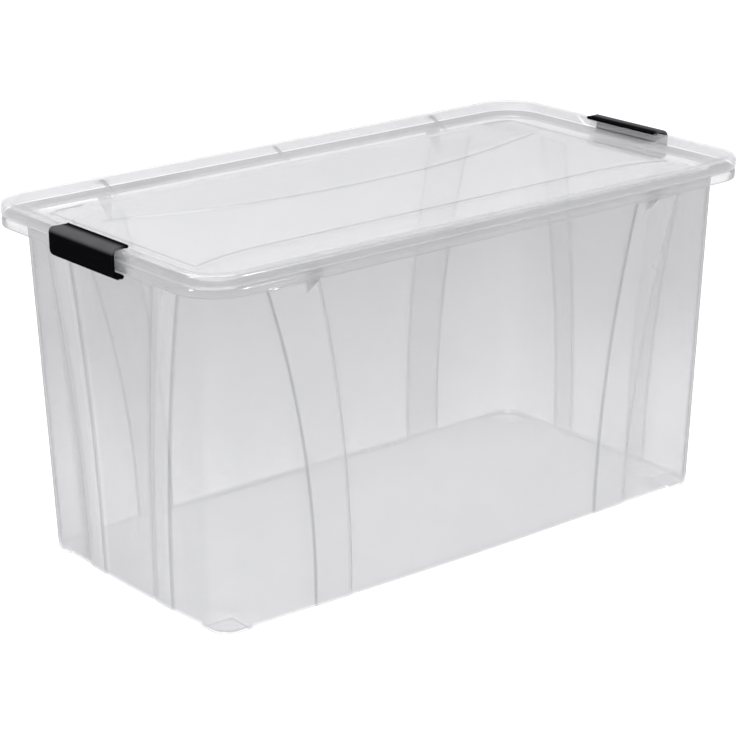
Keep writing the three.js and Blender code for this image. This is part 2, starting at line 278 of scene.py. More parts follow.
def thickened(points, faces, thickness):
    """A sheet given its thickness.

    The second face is point - thickness × normal, turned round, and quads close the open edges."""
    sheet = make_mesh("sheet", points, faces)
    count = len(sheet.vertices)
    outer = read(sheet.vertices, "co", 3)
    inner = outer - thickness * read(sheet.vertex_normals, "vector", 3)
    corners = read(sheet.loops, "vertex_index")
    start, total = read(sheet.polygons, "loop_start"), read(sheet.polygons, "loop_total")
    first, number = np.repeat(start, total), np.repeat(total, total)
    after = corners[first + (np.arange(len(corners)) - first + 1) % number]
    one_way = corners.astype(np.int64) * count + after
    other_way = after.astype(np.int64) * count + corners
    open_edge = ~np.isin(one_way, other_way)
    a, b = corners[open_edge], after[open_edge]
    groups = [np.stack([b, a, a + count, b + count], axis=1)]
    for sides in np.unique(total):
        outside = corners[start[total == sides][:, None] + np.arange(sides)]
        groups += [outside, outside[:, ::-1] + count]
    bpy.data.meshes.remove(sheet)
    return np.concatenate([outer, inner]), groups


def bar(profile, along, reach, round_off):
    """A convex profile carried along a straight line, with rounded ends.

    along takes (profile u, profile v, distance) to a point. A ring's distance is
    reach - r + r sin φ, and it is drawn towards the profile's middle by r (1 - cos φ)."""
    middle = profile.mean(axis=0)
    outward = (profile - middle) / np.linalg.norm(profile - middle, axis=1, keepdims=True)
    swing = np.radians([90, 60, 30, 0])
    lift = reach - round_off + round_off * np.sin(swing)
    lift = np.concatenate([-lift, lift[::-1]])
    draw = round_off * (1 - np.cos(np.concatenate([swing, swing[::-1]])))
    rings = profile - outward * draw[:, None, None]
    distance = np.broadcast_to(lift[:, None], rings.shape[:2])
    points = along(rings[..., 0], rings[..., 1], distance).reshape(-1, 3)
    rows, columns = rings.shape[:2]
    poles = along(np.full(2, middle[0]), np.full(2, middle[1]), lift[[0, -1]])
    points = np.concatenate([points, poles])
    place = np.arange(columns)
    after = (place + 1) % columns
    last = (rows - 1) * columns
    low = np.stack([np.full(columns, rows * columns), after, place], axis=1)
    high = np.stack([np.full(columns, rows * columns + 1), last + place, last + after], axis=1)
    return points, [grid_faces(rows, columns, True), low, high]


def rounded(corners, radius, steps=4):
    """A convex outline's corners, each replaced by a curve through three points at radius from it:
    the weighted sum (1-t)² before + 2t(1-t) corner + t² after."""
    corners = np.asarray(corners, float)
    before, after = np.roll(corners, 1, axis=0), np.roll(corners, -1, axis=0)

    def towards(other):
        way = other - corners
        return (corners + way / np.linalg.norm(way, axis=1, keepdims=True) * radius)[:, None]

    a, b = towards(before), towards(after)
    t = np.linspace(0, 1, steps + 1)[:, None]
    curve = (1 - t) ** 2 * a + 2 * t * (1 - t) * corners[:, None] + t**2 * b
    return curve.reshape(-1, 2)


# ---- Materials ----


class Nodes:
    """Short ways to put the nodes of one material together."""

    def __init__(self, name):
        self.material = bpy.data.materials.new(name)
        self.material.use_nodes = True
        self.tree = self.material.node_tree
        self.tree.nodes.clear()
        self.place = self.add("TexCoord").outputs["Object"]

    def add(self, kind, links=None, **fields):
        """A shader node with its fields and inputs: numbers, colours and sockets."""
        node = self.tree.nodes.new("ShaderNode" + kind)
        for field, value in fields.items():
            setattr(node, field, value)
        for key, value in (links or {}).items():
            if isinstance(value, bpy.types.NodeSocket):
                self.tree.links.new(value, node.inputs[key])
            else:
                node.inputs[key].default_value = value
        return node

    def noise(self, scale, detail=2.0, rough=0.5, stretch=None, warp=0.0):
        """Noise on the piece's own coordinates, from 0 to 1."""
        where = self.place
        if stretch:
            where = self.add("Mapping", {"Vector": where, "Scale": stretch}).outputs[0]
        links = {"Vector": where, "Scale": scale, "Detail": detail, "Roughness": rough,
                 "Distortion": warp}
        return self.add("TexNoise", links).outputs["Fac"]

    def between(self, value, low, high, out_low=0.0, out_high=1.0):
        """value taken from low..high to out_low..out_high, eased and held there."""
        links = {"Value": value, "From Min": low, "From Max": high, "To Min": out_low,
                 "To Max": out_high}
        return self.add("MapRange", links, interpolation_type="SMOOTHSTEP").outputs[0]

    def maths(self, operation, a, b=0.0, c=0.0, clamp=False):
        links = {0: a, 1: b, 2: c}
        return self.add("Math", links, operation=operation, use_clamp=clamp).outputs[0]

    def times(self, a, b):
        return self.maths("MULTIPLY", a, b)

    def added(self, total, *others):
        """The sum of numbers, held at 1."""
        for other in others:
            total = self.maths("ADD", total, other, clamp=True)
        return total

    def bump(self, height, strength, distance, **under):
        links = {"Height": height, "Strength": strength, "Distance": distance, **under}
        return self.add("Bump", links).outputs[0]

    def shader(self, kind, links):
        return self.add("Bsdf" + kind, links).outputs[0]

    def mixed(self, factor, a, b):
        return self.add("MixShader", {0: factor, 1: a, 2: b}).outputs[0]

    def blended(self, factor, a, b):
        return self.add("Mix", {0: factor, 6: a, 7: b}, data_type="RGBA").outputs[2]

    def worn_edges(self):
        """1 on the convex edges, where handling rubs them, and 0 elsewhere."""
        sharp = self.add("NewGeometry").outputs["Pointiness"]
        return self.between(sharp, 0.515, 0.60)

    def finish(self, surface):
        self.add("OutputMaterial", {"Surface": surface})
        return self.material


def opaque(rgb, kept=1.0):
    """A colour with full alpha, each part times the share that is kept."""
    return (*(part * kept for part in rgb), 1.0)


# What one face of the clear plastic passes on to what it shades.
LIGHT_TINT = (0.975, 0.975, 0.977)
# The share it mirrors, met square on, and what a slant adds to that, times its power.
MIRROR, SLANT_MIRROR, MIRROR_POWER = 0.055, 0.22, 6.0
# What a slant, times its power, a scuff and a rubbed edge add to the haze.
SLANT_HAZE, HAZE_POWER, SCUFF_HAZE, WORN_HAZE = 0.50, 2.2, 0.05, 0.10
# The share of the haze that is lit from behind.
SHONE_THROUGH = 0.45
# How far a slant and a bend take the tint towards its deepest, and what share of it that keeps. The
# deepening on a bend is painted shade.
SLANT_DEPTH, PAINTED_BEND_SHADE, DEEPEST = 0.9, 0.55, 0.38
GLOSS_COLOUR = (0.97, 0.97, 0.98)


def clear_plastic(name, finish, tint, painted_light_tint, painted_light_heights, crown, slants, waviness, floor_top=0):
    """Milky clear moulded plastic.

    A face lets light straight through, tinted to the eye, with a haze that grows at a slant, and
    mirrors MIRROR + SLANT_MIRROR × (1 - cosine)⁶ of it. The tint is the lighter tint given between
    the four heights given, which are where that begins, is full, starts to go and is gone, and
    again
    above crown. That is painted light: low on the tub and on the lid's tray floor, and a painted
    highlight along the top of each rim. It deepens as 1 - cosine goes between the two numbers of
    slants, and on what the attribute bend marks, which is painted shade. Below floor_top it is the
    floor's, which is painted light too. What the attribute band marks is frosted. Waves from the
    mould bend the gloss, flow marks cloud the plastic, and scuffs and worn edges roughen it."""
    n = Nodes(name)
    flow = n.noise(5.0, 3.0, 0.55, stretch=(1.0, 1.0, 0.32), warp=0.6)
    scuffs = n.between(n.noise(38.0, 4.0, 0.7, stretch=(1.0, 9.0, 3.0), warp=0.35), 0.60, 0.76)
    normal = n.bump(n.noise(11.0, 1.5, 0.4), waviness, 4 * MM)
    band = n.add("Attribute", attribute_name="band").outputs["Fac"]
    bend = n.add("Attribute", attribute_name="bend").outputs["Fac"]
    height = n.add("SeparateXYZ", {"Vector": n.place}).outputs["Z"]
    by_eye = n.add("LightPath").outputs["Is Camera Ray"]
    facing = n.add("LayerWeight", {"Blend": 0.5, "Normal": normal}).outputs["Facing"]
    mirror = n.maths("MULTIPLY_ADD", n.maths("POWER", facing, MIRROR_POWER), SLANT_MIRROR, MIRROR)
    rough = n.added(n.between(flow, 0.25, 0.75, 0.08, 0.15), n.times(scuffs, 0.16))

    haze = n.added(
        n.between(flow, 0.3, 0.7, finish.haze * 0.75, finish.haze * 1.3),
        n.times(n.maths("POWER", facing, HAZE_POWER), SLANT_HAZE),
        n.times(scuffs, SCUFF_HAZE),
        n.times(n.worn_edges(), WORN_HAZE),
        n.times(band, finish.band_haze),
    )
    milk = n.blended(n.between(flow, 0.3, 0.7), opaque(finish.milk, 0.95), opaque(finish.milk))
    milk = n.blended(band, milk, opaque(finish.band_milk))

    # Painted light: a lighter tint between these heights and above crown, low on the tub, on the
    # lid's tray floor, and as a painted highlight along the top of each rim.
    begins, full, ends, gone = painted_light_heights
    painted_light_share = n.times(n.between(height, begins, full), n.between(height, ends, gone, 1.0, 0.0))
    painted_light_share = n.maths("MAXIMUM", painted_light_share, n.between(height, crown - 1.2 * MM, crown))
    colour_seen = n.blended(painted_light_share, opaque(tint), opaque(painted_light_tint))
    slanting = n.between(facing, *slants, 0.0, SLANT_DEPTH)
    # Painted light: the tub's floor gets its own lighter tint.
    if floor_top:
        above = n.between(height, floor_top, floor_top + 5 * MM)
        colour_seen = n.blended(above, opaque(finish.floor_painted_light_tint), colour_seen)
        slanting = n.times(slanting, above)
    # The deepening on what bend marks is painted shade along edges, steps, ribs, soles and webs.
    deepening = n.added(slanting, n.times(bend, PAINTED_BEND_SHADE))
    colour_seen = n.blended(deepening, colour_seen, opaque(tint, DEEPEST))

    lighting = n.shader("Transparent", {"Color": opaque(LIGHT_TINT)})
    seen = n.shader("Transparent", {"Color": colour_seen})
    lit = n.shader("Diffuse", {"Color": milk, "Normal": normal})
    shone = n.shader("Translucent", {"Color": milk, "Normal": normal})
    links = {"Color": opaque(GLOSS_COLOUR), "Roughness": rough, "Normal": normal}
    gloss = n.shader("Anisotropic", links)
    through = n.mixed(by_eye, lighting, seen)
    body = n.mixed(n.times(haze, by_eye), through, n.mixed(SHONE_THROUGH, lit, shone))
    return n.finish(n.mixed(n.times(mirror, by_eye), body, gloss))


def black_plastic(name, finish, pivot):
    """Black moulded plastic with a satin grain, worn grey on its edges and scuffs, and with a
    painted sheen of grey along its shoulder.
    """
    n = Nodes(name)
    patches = n.noise(28.0, 3.0, 0.6)
    scuffs = n.between(n.noise(70.0, 5.0, 0.7, stretch=(1.0, 0.22, 4.0), warp=0.3), 0.60, 0.74)
    normal = n.bump(patches, 0.12, 0.6 * MM)
    normal = n.bump(n.noise(1300.0, 3.0, 0.6), 0.32, 0.12 * MM, Normal=normal)
    parts = n.add("SeparateXYZ", {"Vector": n.place}).outputs
    # Painted sheen: grey along the lip's shoulder, away from its tip.
    shoulder = n.between(parts["Z"], pivot.z + 24 * MM, pivot.z + 29 * MM)
    off_tip = n.between(n.maths("ABSOLUTE", parts["X"]), pivot.x - 3.6 * MM, pivot.x + 6 * MM)
    shoulder_sheen = n.times(n.times(shoulder, off_tip), n.between(patches, 0.2, 0.8, 0.8, 1.0))
    marks = n.added(n.times(n.worn_edges(), 0.10), n.times(scuffs, 0.07), shoulder_sheen)
    base = n.blended(marks, opaque(finish.black), opaque(finish.wear_and_sheen))
    rough = n.added(n.between(patches, 0.3, 0.7, 0.36, 0.46), n.times(scuffs, 0.12))
    links = {"Base Color": base, "Roughness": rough, "Normal": normal, "Specular IOR Level": 0.0}
    return n.finish(n.shader("Principled", links))


def floor_paint(name, finish):
    """A plain matt pale floor with a barely visible mottle."""
    n = Nodes(name)
    mottle = n.between(n.noise(3.0, 3.0), 0.3, 0.7)
    base = n.blended(mottle, opaque(finish.floor, 0.992), opaque(finish.floor))
    links = {"Base Color": base, "Roughness": 0.75, "Specular IOR Level": 0.2}
    return n.finish(n.shader("Principled", links))


def kept_material(name, make, *given):
    return bpy.data.materials.get(name) or make(name, *given)


def shown(name, data):
    """An object of the data, in the scene."""
    thing = bpy.data.objects.new(name, data)
    bpy.context.scene.collection.objects.link(thing)
    return thing


def place_piece(node, suffix, shells, material, sharp=38.0):
    """Makes the mesh an object at the origin that stands for its node, on the body of that name."""
    name = node + suffix
    mesh = make_mesh(name, *joined(*shells))
    mesh.materials.append(material)
    mesh.shade_smooth()
    mesh.set_sharp_from_angle(angle=math.radians(sharp))
    piece = shown(name, mesh)
    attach(piece, node)
    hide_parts(node)
    return mesh


def keep_numbers(mesh, **fields):
    """Stores one number a corner of the mesh, under each name."""
    for name, values in fields.items():
        layer = mesh.attributes.new(name, "FLOAT", "POINT")
        layer.data.foreach_set("value", values.astype(np.float32))


# ---- Tub ----


# A band's inner edge and its outer one: millimetres from the wall's middle at the foot, and how
# much further out at the top.
LONG_BANDS = (172, 45, 217, 62)
END_BANDS = (47, 30, 75, 42)
# Painted shade on the turn into the floor and on the soles, beside the painted shade in the middle
# of a bend.
TURN_SHADE, SOLE_SHADE = 0.45, 0.4
# Painted light: the walls' tint is lighter up to 90 mm, and less and less so from there to 270 mm.
TUB_PAINTED_LIGHT, TUB_SLANTS, TUB_WAVES = (-1.0, -0.9, 0.09, 0.27), (0.42, 0.9), 0.22


def walls_at(s, high, z):
    """The walls' half length and width at height z: at the top, less draft × (top - z) / top."""
    down = (high.z - z) / high.z
    return high.x - s.overhang - s.draft_x * down, high.y - s.overhang - s.draft_y * down


def tub_rows(s, high):
    """The tub's outside as a profile from the middle of its floor up to the rim's lower edge.

    Each row is half length, half width, corner radius, height, and its part in the feet, the bands
    and the bulge. A bend is radius × (1 - cos) one way and radius × sin the other."""

    def rows(half_x, half_y, radius, z, foot=0.0, band=0.0, bulge=0.0):
        return np.stack(np.broadcast_arrays(half_x, half_y, radius, z, foot, band, bulge), axis=1)

    def around(in_by, z):
        """Rows of the rim, by how far in they are from its outside."""
        return rows(high.x - in_by, high.y - in_by, s.rim_corner - in_by, z)

    base_x, base_y = walls_at(s, high, 0.0)
    inset = np.array([140, 110, 80, 60, 48, 42, 40, 38, 36, 34, 28, 20, 12, 8]) * MM
    least, bulge_reach = 1.5 * MM, 60 * MM
    seam = rows([base_x - base_y], [0.0], [0.0], [0.0], 1.0)
    corner, bulge = np.maximum(s.corner - inset, least), np.clip(1 - inset / bulge_reach, 0, 1)
    floor = rows(base_x - inset, base_y - inset, corner, 0.0, 1.0, 0.0, bulge)
    swing = np.radians(np.linspace(0, 90, 8))
    z = s.floor_bend * (1 - np.cos(swing))
    pulled = s.floor_bend * (1 - np.sin(swing))
    wide, deep = walls_at(s, high, z)
    bend = rows(wide - pulled, deep - pulled, s.corner - pulled, z, 1.0, ease(np.sin(swing)), 1.0)
    low, tall, foot_fade = 8 * MM, 350 * MM, 26 * MM
    z = np.linspace(low, tall, 36)
    bulge = 1.0 - ease(z / tall) * 0.2
    upright = rows(*walls_at(s, high, z), s.corner, z, 1 - ease(z / foot_fade), 1.0, bulge)
    z = np.array([352, 353.5, 355, 356.5, 358, 361, 365]) * MM
    fade = 1 - step(z, s.band_top - 2 * MM, 2 * MM)
    shoulder = rows(*walls_at(s, high, z), s.corner, z, 0.0, fade, 0.8)

    shelf = high.z - s.wall
    swing = np.radians(np.linspace(0, 90, 6))
    wide, deep = walls_at(s, high, high.z)
    out = s.roll * (1 - np.cos(swing))
    under = rows(wide + out, deep + out, s.corner + out, shelf - s.roll + s.roll * np.sin(swing))
    edge = s.wall + s.roll
    t = np.linspace(0, 1, 5)[1:-1]
    wide, deep, corner = wide + s.roll, deep + s.roll, s.corner + s.roll
    ledge = rows(wide + (high.x - edge - wide) * t, deep + (high.y - edge - deep) * t,
                 corner + (s.rim_corner - edge - corner) * t, shelf)
    roll = around(edge - s.roll * np.sin(swing), shelf - s.roll + s.roll * np.cos(swing))
    t = np.linspace(0, 1, 4)[1:]
    drop = around(s.wall + 0.3 * MM * t, shelf - s.roll - (s.rim_drop - s.wall - s.roll) * t)
    return np.concatenate([seam, floor, bend, upright, shoulder, under, ledge, roll, drop])


def band_edges(band, z, s):
    """Both edges of a band at height z: foot + spread × (z / top)²."""
    inner, inner_spread, outer, outer_spread = band
    rise = (np.clip(z, 0, s.band_top) / s.band_top) ** 2
    return (inner + inner_spread * rise) * MM, (outer + outer_spread * rise) * MM


def tub_sheet(s, high):
    """The tub's outside on a grid: a rounded rectangle for each row of the profile.

    The points along a wall follow its bands, so that every column keeps to one edge. The surface is
    the rectangle's point, plus outward × (band raise × band + bulge × (1 - share²)²), and z is
    lifted by foot height × (1 - foot) × (1 - sag / 2) between the feet."""
    half_x, half_y, radius, z, foot, band, bulge = tub_rows(s, high).T
    cx, cy = half_x - radius, half_y - radius
    soft, foot_edge = s.band_edge, 2 * MM
    base_x, base_y = walls_at(s, high, 0.0)
    top_x, top_y = walls_at(s, high, high.z)

    def side(edges, straight, half, counts):
        inner, outer = edges
        foot_at = np.minimum(half, high.x) - s.foot_length
        foot_at = np.maximum(foot_at, outer + soft + foot_edge + 1 * MM)
        last = np.maximum(straight, foot_at + foot_edge + 1 * MM)
        marks = stations((np.zeros_like(inner), counts[0]), (inner - soft, 4),
                         (inner + soft, counts[1]), (outer - soft, 4), (outer + soft, counts[2]),
                         (foot_at - foot_edge, 3), (foot_at + foot_edge, 2), last)
        return both_sides(marks), marks[:, -1:]

    long_edges, end_edges = band_edges(LONG_BANDS, z, s), band_edges(END_BANDS, z, s)
    along, span_x = side(long_edges, cx, np.clip(half_x, base_x, top_x), (15, 5, 3))
    across, span_y = side(end_edges, cy, np.clip(half_y, base_y, top_y), (6, 3, 2))
    along, across = along / span_x, across / span_y
    angles = np.radians(np.linspace(0, 90, 13))[1:-1]
    x, y, nx, ny = ring(half_x, half_y, radius, along, across, along, across, angles)

    def strip(place, edges):
        inner, outer = (e[:, None] for e in edges)
        return step(np.abs(place), inner, soft) * (1 - step(np.abs(place), outer, soft))

    def on_walls(long_wall, end_wall):
        return np.where(np.abs(ny) > 0.999, long_wall, np.where(np.abs(nx) > 0.999, end_wall, 0.0))

    raised = on_walls(strip(x, long_edges), strip(y, end_edges))
    low_down = (1 - np.clip(z / high.z, 0, 1)) ** 1.3 * bulge
    span_x, span_y = (np.maximum(half, 1e-6)[:, None] for half in (cx, cy))
    swell = on_walls(s.bow * hump(x, span_x) ** 2, s.end_bow * hump(y, span_y) ** 2)
    push = s.band_raise * raised * band[:, None] + swell * low_down[:, None]
    x, y = x + nx * push, y + ny * push

    foot_x, foot_y = base_x - s.foot_length, base_y - s.foot_length
    sole = step(np.abs(x), foot_x, foot_edge) * step(np.abs(y), foot_y, foot_edge)
    sag = np.clip(hump(x, foot_x) + hump(y, foot_y), 0, 1)
    lift = s.foot_height * (1 - sole) * (1 - 0.5 * sag)
    height = z[:, None] + lift * foot[:, None]
    points = np.stack([x, y, height], axis=-1)
    return points.reshape(-1, 3), [grid_faces(*points.shape[:2], True)]


def mark_bands(mesh, s, high):
    """Two numbers on each corner of the mesh: band is 1 on a band and 0 off it, and bend is 1 in
    the middle of its soft sides. bend also marks where the walls turn into the floor, the soles
    and the webs. bend is painted shade: the clear plastic's tint deepens where it is."""
    x, y, z = read(mesh.vertices, "co", 3).T
    x, y = np.abs(x), np.abs(y)
    half_x, half_y = walls_at(s, high, z)
    near = s.wall + s.band_raise
    below = (1 - step(z, s.band_top - 2 * MM, 2 * MM)) * step(z, s.floor_bend, s.floor_bend)
    band, bend = np.zeros_like(z), np.zeros_like(z)
    sides = ((LONG_BANDS, x, half_x, y, half_y), (END_BANDS, y, half_y, x, half_x))
    for edges, place, half, out, wall in sides:
        inner, outer = band_edges(edges, z, s)
        on = ((out > wall - near) & (place < half - s.corner * 0.5)) * below
        band += on * step(place, inner, s.band_edge) * (1 - step(place, outer, s.band_edge))
        bend += on * (midway(place, inner, s.band_edge) + midway(place, outer, s.band_edge))
    # Painted shade where the walls turn into the floor, on the soles and on the webs.
    at_wall = np.maximum(x - half_x, y - half_y) > -7 * MM
    bend += at_wall * (1 - step(z, s.floor_bend, 2 * MM)) * TURN_SHADE
    sole = (x > half_x - s.foot_length) & (y > half_y - s.foot_length) & (z < s.foot_height)
    web = (np.abs(x - s.web_place) < 3 * MM) & (z < high.z - s.wall - 1 * MM)
    web &= (y > half_y + s.roll + 1 * MM) & (y < high.y - s.wall - 0.5 * MM)
    bend = np.maximum.reduce([bend, sole * SOLE_SHADE, web * 1.0])
    keep_numbers(mesh, band=band, bend=bend)


def beside(side, at, way=1):
    """Takes a profile's (u, v) to (side × u, v) in Y and Z, for a bar along X about at."""
    return lambda u, v, w: np.stack([at + way * side * w, side * u, v], axis=-1)


def tub_webs(s, high):
    """Four thin triangular webs between the long walls and the underside of the rim, and the two
    rails behind the clips' beads, each a convex profile carried along a short line."""
    bury = 0.5 * MM
    root = high.y - s.overhang - 1.2 * MM
    tip = high.y - s.wall + bury
    roof = high.z - s.wall + bury
    sill = high.z - s.rim_drop
    web = [(root, roof), (root, sill - s.web_depth), (tip, sill + 2 * MM), (tip, roof)]
    shells = [
        bar(rounded(web, 1.0 * MM), beside(side, end * s.web_place), 1.5 * MM, 0.7 * MM)
        for side in (-1, 1) for end in (-1, 1)
    ]
    pivot = PIVOTS["clip_right"]
    face, foot = pivot.x - 3.6 * MM, pivot.z + 1 * MM
    rail = [(face - s.wall, roof), (face - s.wall, foot), (face, foot), (face, roof)]
    for end in (-1, 1):

        def across(u, v, w, end=end):
            return np.stack([end * u, -w * end, v], axis=-1)

        shells.append(bar(rounded(rail, 0.7 * MM), across, 50 * MM, 0.7 * MM))
    return shells


# ---- Lid ----

# Places along the long curved step, in millimetres.
SWEEP = np.array([(-330, 91), (-289, 79), (-233, 61), (-183, 45), (-135, 35), (-93, 31), (-49, 29),
                  (80, 28), (121, 32), (170, 43), (217, 54), (267, 66), (322, 78), (330, 80)]) * MM
# Places down the tray wall, in millimetres in from the outside.
SLOPE = (38.6, 37, 33, 30, 28.2, 26, 20, 14.6, 12.6, 11.6, 10.9, 10.3, 9.8, 9.2, 8)
# The tray wall beside a clip's seat: millimetres in from the outside, and up from the tray floor.
SEAT_WALL = ((38.6, 0.25), (37, 0.95), (33, 2.9), (30, 4.3), (28.2, 4.85), (26, 5), (20, 5),
             (14, 5), (11.6, 5.3), (10.3, 6.2), (9.8, 7.6), (9.6, 10.2), (9.3, 12.2), (8.8, 13.1),
             (8, 13.5))
# From the roll's top to the skirt's foot, in millimetres, and rows of its last bit: in, and up.
SKIRT_DROP = 12.4
SKIRT = np.array([(0.05, 6.0), (0.15, 3.0), (0.25, 1.0), (0.3, 0.4)])
# Half the width of the panel's soft edges, and of the sweep's.
PANEL_SOFT, SWEEP_SOFT = 1.1 * MM, 2.0 * MM
# Painted shade on those edges, on the lid's outside and on the ribs, beside the painted shade in
# the middle of a bend.
STEP_SHADE, EDGE_SHADE, RIB_SHADE = 0.65, 0.14, 0.6
LID_SLANTS, LID_WAVES = (0.72, 0.97), 0.10


def sweep_line(x):
    """The long curved step across the lid: the curve of sixth degree nearest to its places."""
    reach = SWEEP[-1, 0]
    return np.polynomial.Polynomial.fit(SWEEP[:, 0] / reach, SWEEP[:, 1], 6)(x / reach)


def panel_front(x, s):
    """The panel's front edge: a straight line that curves forward by the flare near its ends."""
    curved = 90 * MM
    flare = np.clip((np.abs(x) - s.panel_end + curved) / curved, 0, 1) ** 2
    return -(s.panel_front + s.panel_flare * flare)


def lid_profile(s, high, pocket):
    """The lid's top face from the tray floor's edge out over the roll and down the skirt.

    Rows of (distance in from the outside, height). Without a pocket the tray wall is a straight
    slope with soft ends, crown - soft × log(1 + exp((crown - rise) / soft - 0.6)). With one it
    runs level and then upright, and the roll is let down."""
    crown, foot = s.tray_depth / MM, (s.rim_width + s.tray_slope) / MM
    drop = s.seat_depth if pocket else 0.0
    if pocket:
        wall = np.array([(foot, 0), *SEAT_WALL])
    else:
        place = np.array([foot, *SLOPE])
        soft, lead_in = 0.5, [0, 0.36, 0.66]
        line = crown * (foot - place) / (s.tray_slope / MM)
        rise = line * np.array(lead_in + [1.0] * (len(place) - len(lead_in)))
        rise = crown - soft * np.logaddexp(0, (crown - rise) / soft - 0.6)
        rise[:7] = np.minimum(rise[:7], line[:7])
        rise[0], rise[-1] = 0.0, crown
        wall = np.stack([place, rise], axis=1)
    level = crown - drop / MM
    swing = np.radians(np.linspace(0, 90, 9))
    up = s.tray_depth - s.roll + (s.roll - drop) * np.cos(swing)
    bend = np.stack([s.roll * (1 - np.sin(swing)), up], axis=1) / MM
    rows = [wall, [(6.8, level), (5.6, level)], bend, SKIRT + [0, crown - SKIRT_DROP]]
    rows = np.concatenate(rows) * MM
    return rows[:, 0], high.z - s.tray_depth + rows[:, 1]


def lid_sheet(s, high):
    """The lid's top face.

    The tray floor is a grid whose rows follow the panel's edges: z is the floor plus the panel's
    raise times a soft step at each of its edges, plus the sweep's raise behind the sweep line. The
    tray wall, roll and skirt are the profile carried round it, the pocket's at a clip's seat."""
    foot = s.rim_width + s.tray_slope
    half_x, half_y, radius = high.x - foot, high.y - foot, s.tray_corner
    cx, cy = half_x - radius, half_y - radius
    soft, blur, gap = PANEL_SOFT, SWEEP_SOFT, 1.5 * MM
    # Four of the corner's columns keep to the soft end edge of the panel.
    ends = s.panel_end + np.array([1, 0.35, -0.35, -1]) * soft
    ends = np.degrees(np.arccos((ends - cx) / radius))
    angles = np.radians([6, 13, 21, 29, 35, *ends, 55, 64, 73, 82])
    straight = both_sides(stations((0.0, 26), cx))[0]
    bends = cx + radius * np.cos(angles)
    x = np.concatenate([[-half_x], -bends, straight, bends[::-1], [half_x]])
    reach = cy + np.sqrt(np.clip(radius**2 - np.clip(np.abs(x) - cx, 0, None) ** 2, 0, None))

    front = panel_front(x, s)
    back = np.minimum(s.panel_back, reach - 6 * MM)
    sweep = sweep_line(x)
    share_x = (x + half_x) / (2 * half_x)
    lead = (sweep[0] * (1 - share_x) + sweep[-1] * share_x) - s.seat
    rows = stations((-reach, 4), (front - soft, 4), (front + soft, 5), (-s.seat - gap, 3),
                    (-s.seat + gap, 12), (sweep - lead - gap, 3), (sweep - lead + gap, 3),
                    (sweep - blur, 6), (sweep + blur, 8), (back - soft, 4), (back + soft, 2), reach)
    y = rows.T
    grid_x = np.broadcast_to(x, y.shape)
    panel = step(y, front, soft) * (1 - step(y, back, soft))
    panel *= 1 - step(np.abs(grid_x), s.panel_end, soft)
    fade = 1 - step(np.abs(grid_x), s.panel_end - 34 * MM, 30 * MM)
    floor = high.z - s.tray_depth
    z = floor + s.panel_raise * panel + s.sweep_raise * panel * step(y, sweep, blur) * fade
    tray = np.stack([grid_x, y, z], axis=-1)

    in_by, height = lid_profile(s, high, False)
    pocket_in, pocket_height = lid_profile(s, high, True)
    inside = np.clip((in_by - s.rim_width) / s.tray_slope, 0, 1)
    corner = np.where(in_by < s.rim_width, s.corner - in_by,
                      (s.corner - s.rim_width) * (1 - inside) + radius * inside)
    wide, deep = high.x - in_by, high.y - in_by
    places = (straight / cx, y[:, -1] / cy, y[:, 0] / cy)
    sides, right, left = (np.broadcast_to(v, (len(in_by), len(v))) for v in places)
    px, py, nx, _ = ring(wide, deep, corner, sides, right, sides, left, angles)
    # The seat keeps its length all the way out, so the points beside it are set by distance.
    seat = np.where(np.abs(nx) > 0.999, 1 - step(np.abs(py), s.seat, gap), 0.0)
    px = px - nx * seat * (pocket_in - in_by)[:, None]
    pz = height[:, None] + seat * (pocket_height - height)[:, None]
    wall = np.stack([px, py, pz], axis=-1)
    return joined(
        (tray.reshape(-1, 3), [grid_faces(*tray.shape[:2], False)]),
        (wall.reshape(-1, 3), [grid_faces(*wall.shape[:2], True)[:, ::-1]]),
    )


def mark_lid(mesh, s, high):
    """A number on each corner of the mesh: bend marks the middle of the soft steps of the panel and
    of the sweep, the outside of the lid, and the upper part of the short ribs. It is painted shade:
    the clear plastic's tint deepens where it is."""
    x, y, z = read(mesh.vertices, "co", 3).T
    along, wide = np.abs(x), np.abs(y)
    floor, soft = high.z - s.tray_depth, PANEL_SOFT
    slope_top = high.y - s.rim_width
    slope_foot = slope_top - s.tray_slope

    front = panel_front(x, s)
    inside = (y > front - soft) & (y < s.panel_back + soft) & (along < s.panel_end + soft)
    steps = np.maximum.reduce([
        midway(y, front, soft) * (along < s.panel_end),
        midway(along, s.panel_end, soft) * inside,
        midway(y, sweep_line(x), SWEEP_SOFT) * (along < s.panel_end - 20 * MM),
    ])
    steps *= (z < floor + 5 * MM) & (z > floor - 4 * MM) & (wide < slope_foot + 1 * MM)
    edge = step(np.maximum(along - high.x, wide - high.y), -2.5 * MM, 1.5 * MM)
    off_rib = np.abs(np.abs(along - s.rib_spacing / 2) - s.rib_spacing / 2)
    rib = (off_rib < s.rib_width / 2 + 0.2 * MM) & (off_rib > 0.4 * MM)
    rib &= (z < high.z - 1.2 * MM) & (wide < slope_top) & (wide > slope_foot)
    rib = rib * step(z, floor + 6 * MM, 3 * MM)
    bend = np.maximum.reduce([STEP_SHADE * steps, EDGE_SHADE * edge, RIB_SHADE * rib])
    keep_numbers(mesh, band=np.zeros_like(z), bend=bend)


def lid_ribs(s, high):
    """Six short ribs in the angle between the tray wall and the tray floor."""
    floor, under = high.z - s.tray_depth - 1 * MM, high.z - 1.6 * MM
    top = high.y - s.rim_width
    foot = top - s.tray_slope
    section = rounded([(top - 1 * MM, under), (foot - 1 * MM, floor), (foot - 6 * MM, floor),
                       (top - 5 * MM, under)], 1.0 * MM)[::-1]
    return [
        bar(section, beside(side, place * s.rib_spacing, -1), s.rib_width / 2, 0.9 * MM)
        for side in (-1, 1) for place in (-1, 0, 1)
    ]


